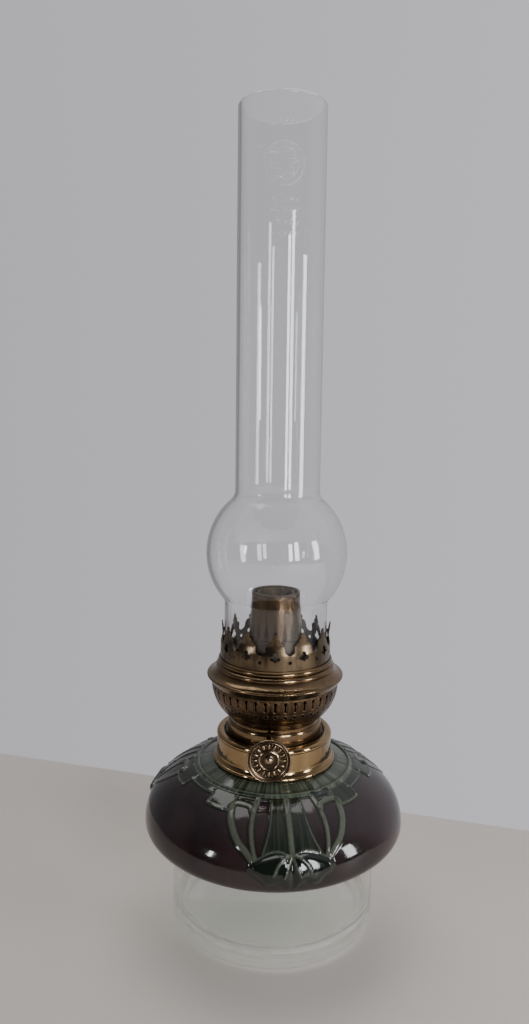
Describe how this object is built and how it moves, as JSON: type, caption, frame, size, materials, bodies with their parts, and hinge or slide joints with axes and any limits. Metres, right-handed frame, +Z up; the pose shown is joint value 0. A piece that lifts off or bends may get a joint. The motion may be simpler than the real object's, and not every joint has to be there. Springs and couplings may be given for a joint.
{
  "type": "kerosene table lamp",
  "caption": "Oil table lamp: clear glass stand, glazed ceramic font, brass round-wick burner with a turning wick knob, and a tall ball chimney.",
  "frame": {"origin": "on the table, at the lamp's vertical axis", "axes": "+Z up along the axis; the wick knob points to -Y; +X to the right seen from the knob"},
  "size_m": [0.1356, 0.1356, 0.4113],
  "materials": {
    "stand_glass": "clear pressed glass, polished",
    "chimney_glass": "clear blown glass, thin and bright",
    "font_glaze": "dark aubergine gloss glaze with green relief",
    "plaster": "dry plaster of Paris",
    "polished_brass": "polished with light age spots",
    "burner_brass": "aged, brown in the hollows",
    "crown_brass": "thin stamped sheet, heat darkened",
    "cone_brass": "heat browned, darker at the mouth",
    "knob_brass": "stamped, worn bright on the high rings",
    "dark_brass": "oxidised, sooty",
    "cork": "cork",
    "wick_cotton": "woven cotton, singed on top",
    "felt": "felt packing"
  },
  "bodies": {
    "stand": {"glass_stand": "stand_glass"},
    "font": {"font_body": "font_glaze", "collar_plaster": "plaster", "font_collar": "polished_brass"},
    "washer": {"collar_washer": "cork"},
    "burner": {"burner_base": "burner_brass", "burner_neck": "burner_brass", "basket": "burner_brass", "gallery": "burner_brass", "crown": "crown_brass", "gallery_plate": "dark_brass", "wick_casing": "cone_brass", "tube_rim": "dark_brass", "draught_tube": "dark_brass", "draught_plug": "dark_brass", "air_duct": "dark_brass", "rack_guide": "dark_brass", "spindle_bush": "burner_brass", "gland_packing": "felt", "gland_nut": "burner_brass"},
    "wick": {"wick": "wick_cotton", "wick_carrier": "dark_brass", "wick_rack": "dark_brass"},
    "spindle": {"spindle": "burner_brass", "pinion": "dark_brass", "knob_disc": "knob_brass", "knob_hub": "knob_brass", "knob_rivet": "knob_brass"},
    "chimney": {"chimney": "chimney_glass"}
  },
  "joints": [
    {"name": "font_lift", "type": "slide", "parent": "stand", "child": "font", "axis": [0, 0, 1], "range_m": [0, 0.05]},
    {"name": "burner_lift", "type": "slide", "parent": "font", "child": "washer", "axis": [0, 0, 1], "range_m": [0, 0.06]},
    {"name": "burner_turn", "type": "hinge", "parent": "washer", "child": "burner", "pos_m": [0, 0, 0.1], "axis": [0, 0, 1], "range_deg": [0, 1080]},
    {"name": "chimney_lift", "type": "slide", "parent": "burner", "child": "chimney", "axis": [0, 0, 1], "range_m": [0, 0.06]},
    {"name": "spindle_turn", "type": "hinge", "parent": "burner", "child": "spindle", "pos_m": [-0.003, -0.04, 0.1036], "axis": [0, -1, 0], "range_deg": [-114.5, 152.7]},
    {"name": "wick_rise", "type": "slide", "parent": "burner", "child": "wick", "axis": [0, 0, 1], "range_m": [-0.006, 0.008]}
  ],
  "couplings": [
    {"joint": "wick_rise", "follows": "spindle_turn", "m_per_rad": 0.003}
  ]
}
